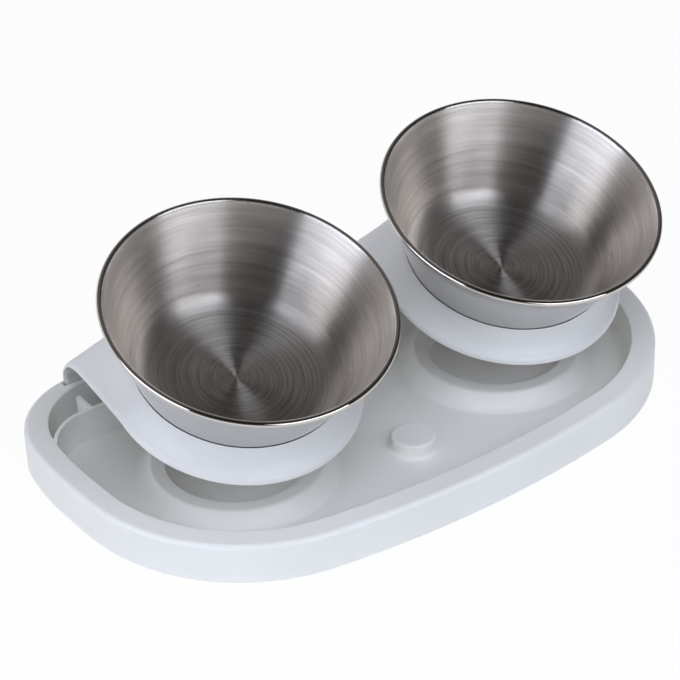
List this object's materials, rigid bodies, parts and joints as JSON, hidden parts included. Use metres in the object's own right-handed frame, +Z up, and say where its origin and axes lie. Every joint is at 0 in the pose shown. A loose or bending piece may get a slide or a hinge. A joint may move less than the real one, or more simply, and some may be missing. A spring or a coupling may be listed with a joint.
{
  "type": "pet bowl stand",
  "caption": "Raised double pet feeder: shallow rounded tray, tilted draped collar holders plugged into its back sockets, and flared metal bowls that lift out.",
  "frame": {"origin": "On the table, under the middle of the tray's length and depth.", "axes": "+X runs along the row of bowls, +Z is up, and the front that the animal eats from faces -Y."},
  "size_m": [0.325, 0.19, 0.1292],
  "materials": {
    "tray_plastic": "satin",
    "holder_plastic": "satin",
    "steel": "brushed",
    "pad_rubber": "matte"
  },
  "bodies": {
    "tray_body": {"tray": "tray_plastic", "pad_front_left": "pad_rubber", "pad_front_right": "pad_rubber", "pad_back_left": "pad_rubber", "pad_back_right": "pad_rubber"},
    "holder_left_body": {"holder_left": "holder_plastic"},
    "holder_right_body": {"holder_right": "holder_plastic"},
    "bowl_left_body": {"bowl_left": "steel"},
    "bowl_right_body": {"bowl_right": "steel"}
  },
  "joints": [
    {"name": "holder_left_lift", "type": "slide", "parent": "tray_body", "child": "holder_left_body", "axis": [0, 0, 1], "range_m": [0, 0.025]},
    {"name": "holder_right_lift", "type": "slide", "parent": "tray_body", "child": "holder_right_body", "axis": [0, 0, 1], "range_m": [0, 0.025]},
    {"name": "bowl_left_lift", "type": "slide", "parent": "holder_left_body", "child": "bowl_left_body", "axis": [0, -0.304, 0.9527], "range_m": [0, 0.06]},
    {"name": "bowl_right_lift", "type": "slide", "parent": "holder_right_body", "child": "bowl_right_body", "axis": [0, -0.304, 0.9527], "range_m": [0, 0.06]}
  ]
}
